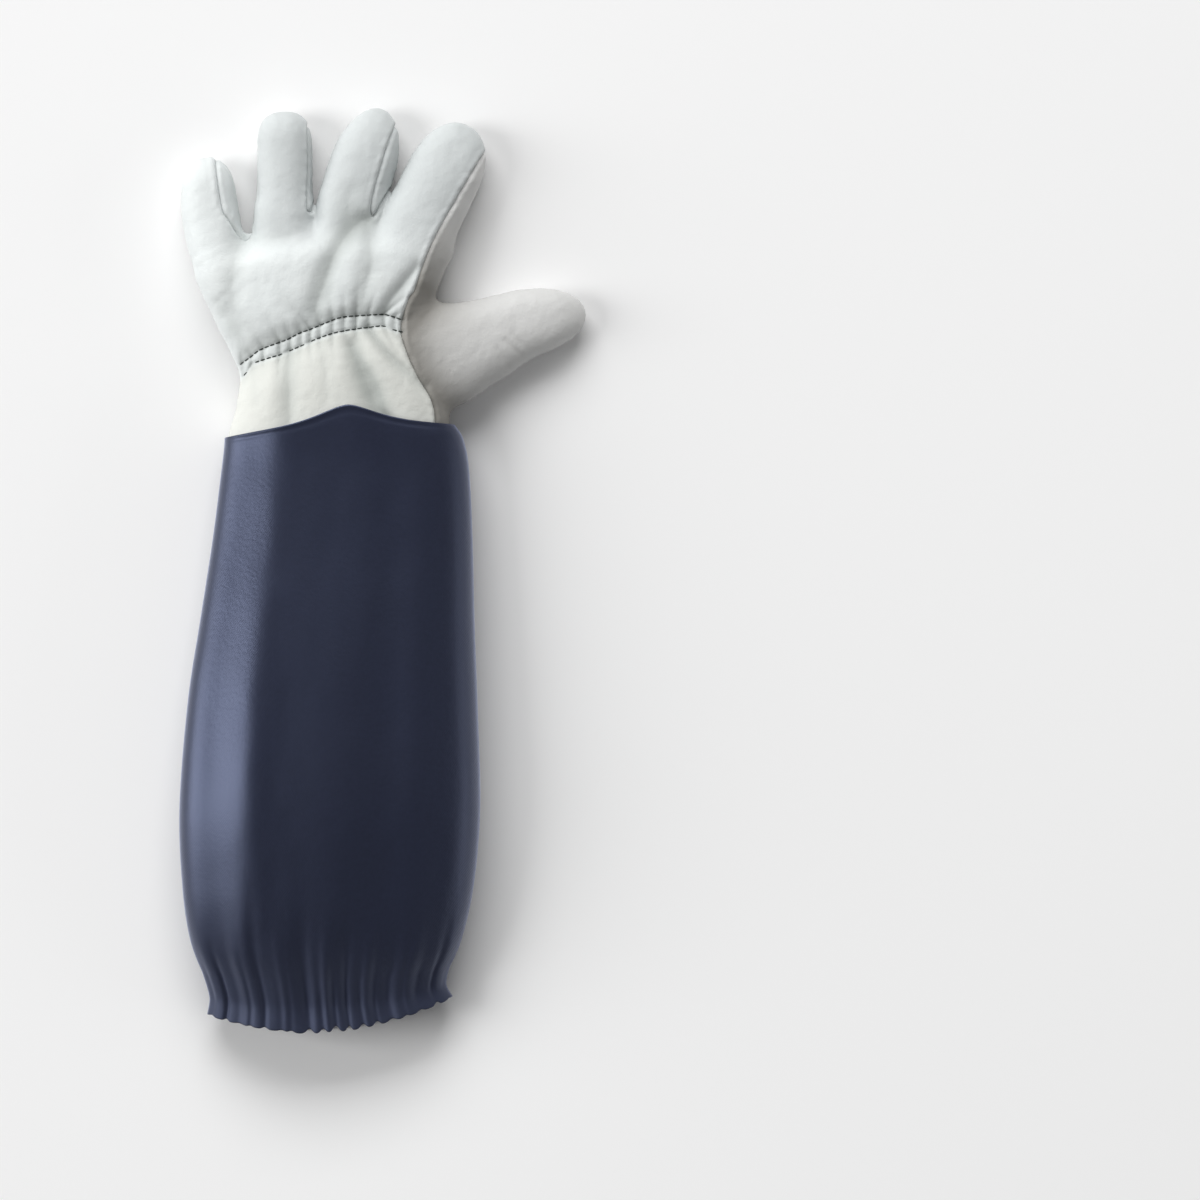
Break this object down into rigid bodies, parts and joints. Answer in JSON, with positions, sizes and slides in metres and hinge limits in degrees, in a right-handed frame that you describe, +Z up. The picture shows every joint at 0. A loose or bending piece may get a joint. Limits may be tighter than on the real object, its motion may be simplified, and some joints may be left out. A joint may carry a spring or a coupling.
{
  "type": "long leather work glove",
  "caption": "Long work glove for the left hand: a leather hand gathered at the wrist on a canvas forearm sleeve with an elastic hem, lying palm down.",
  "frame": {"origin": "on the surface that the glove lies on, under the middle of its outline", "axes": "+Y from the open hem towards the fingers, +X towards the thumb, +Z up from the palm to the back of the hand"},
  "size_m": [0.2156, 0.4918, 0.054],
  "materials": {
    "back_leather": "soft matt off-white grain leather",
    "palm_leather": "soft matt pale grey grain leather",
    "canvas": "navy cotton twill with a faint sheen",
    "elastic_tape": "ribbed woven elastic",
    "thread": "twisted sewing thread"
  },
  "bodies": {
    "root": {"back_panel": "back_leather", "palm_panel": "palm_leather", "thumb_panel": "palm_leather", "side_panel": "palm_leather", "fourchette_little_ring": "back_leather", "fourchette_ring_middle": "back_leather", "fourchette_middle_index": "back_leather", "wrist_elastic": "elastic_tape", "sleeve": "canvas", "hem_casing": "canvas"}
  },
  "joints": []
}
